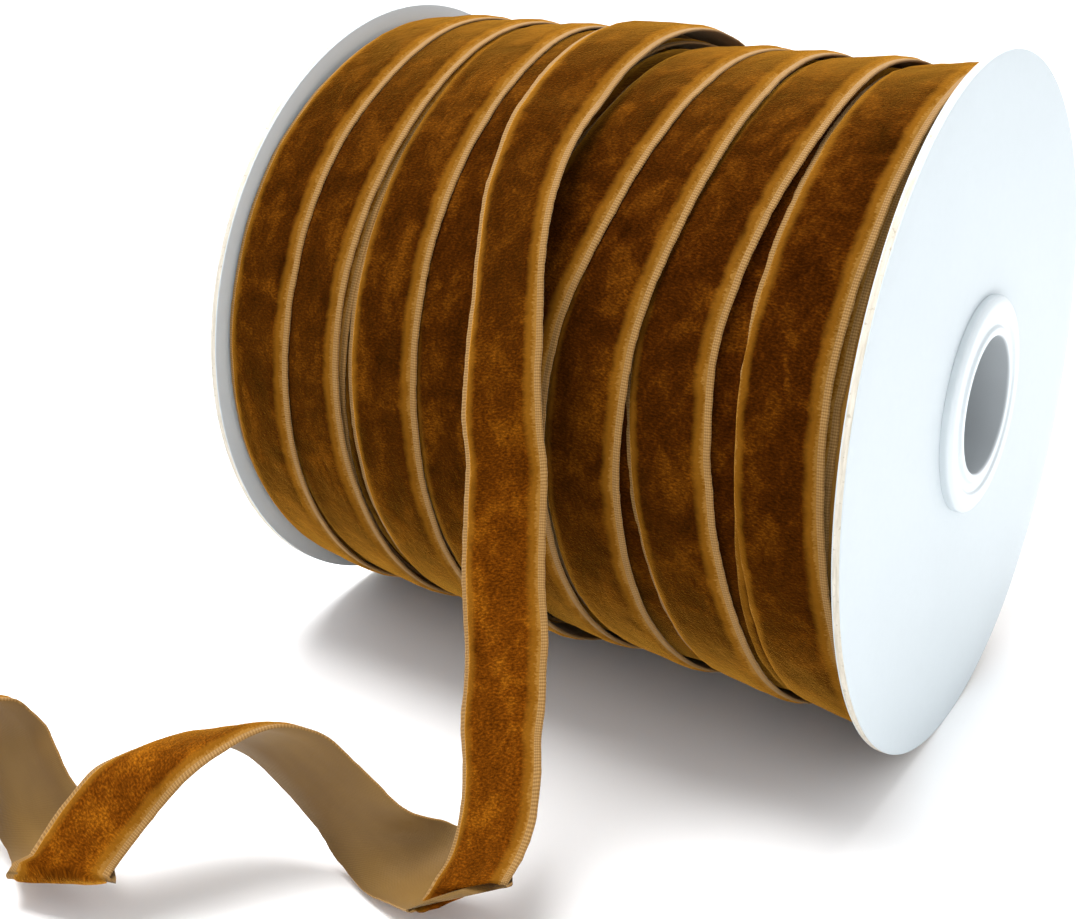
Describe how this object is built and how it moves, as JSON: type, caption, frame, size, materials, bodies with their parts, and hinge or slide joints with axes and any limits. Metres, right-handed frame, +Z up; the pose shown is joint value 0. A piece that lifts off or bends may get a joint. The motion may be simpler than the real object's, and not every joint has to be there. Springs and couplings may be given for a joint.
{
  "type": "ribbon spool",
  "caption": "Roll of velvet ribbon on a paper-faced flanged spool with a spindle bore, its loose end running out in curls.",
  "frame": {"origin": "on the table under the middle of the spool, which lies on the rims of its two flanges", "axes": "+X along the axle towards the right flange, +Z up, -Y towards the loose end of the ribbon"},
  "size_m": [0.1187, 0.1734, 0.096],
  "materials": {
    "card_white": "smooth white paper facing",
    "card_grey": "grey chipboard",
    "kraft_tube": "spiral wound kraft board",
    "hub_plastic": "satin white moulded plastic",
    "tape": "crepe paper tape",
    "velvet": "golden brown velvet pile with woven selvages",
    "ribbon_back": "plain woven tan backing"
  },
  "bodies": {
    "root": {"core_tube": "kraft_tube", "left_flange_board": "card_grey", "right_flange_board": "card_grey", "left_outer_paper": "card_white", "right_outer_paper": "card_white", "left_inner_paper": "card_white", "right_inner_paper": "card_white", "left_hub_bushing": "hub_plastic", "right_hub_bushing": "hub_plastic", "leader_tape": "tape", "ribbon_inner_winding": "velvet", "ribbon_lower_turn_1": "velvet", "ribbon_lower_turn_2": "velvet", "ribbon_lower_turn_3": "velvet", "ribbon_lower_turn_4": "velvet", "ribbon_lower_turn_5": "velvet", "ribbon_lower_turn_6": "velvet", "ribbon_lower_turn_7": "velvet", "ribbon_lower_turn_8": "velvet", "ribbon_upper_turn_1": "velvet", "ribbon_upper_turn_2": "velvet", "ribbon_upper_turn_3": "velvet", "ribbon_upper_turn_4": "velvet", "ribbon_last_turn": "velvet", "ribbon_loose_end": "velvet"}
  },
  "joints": []
}
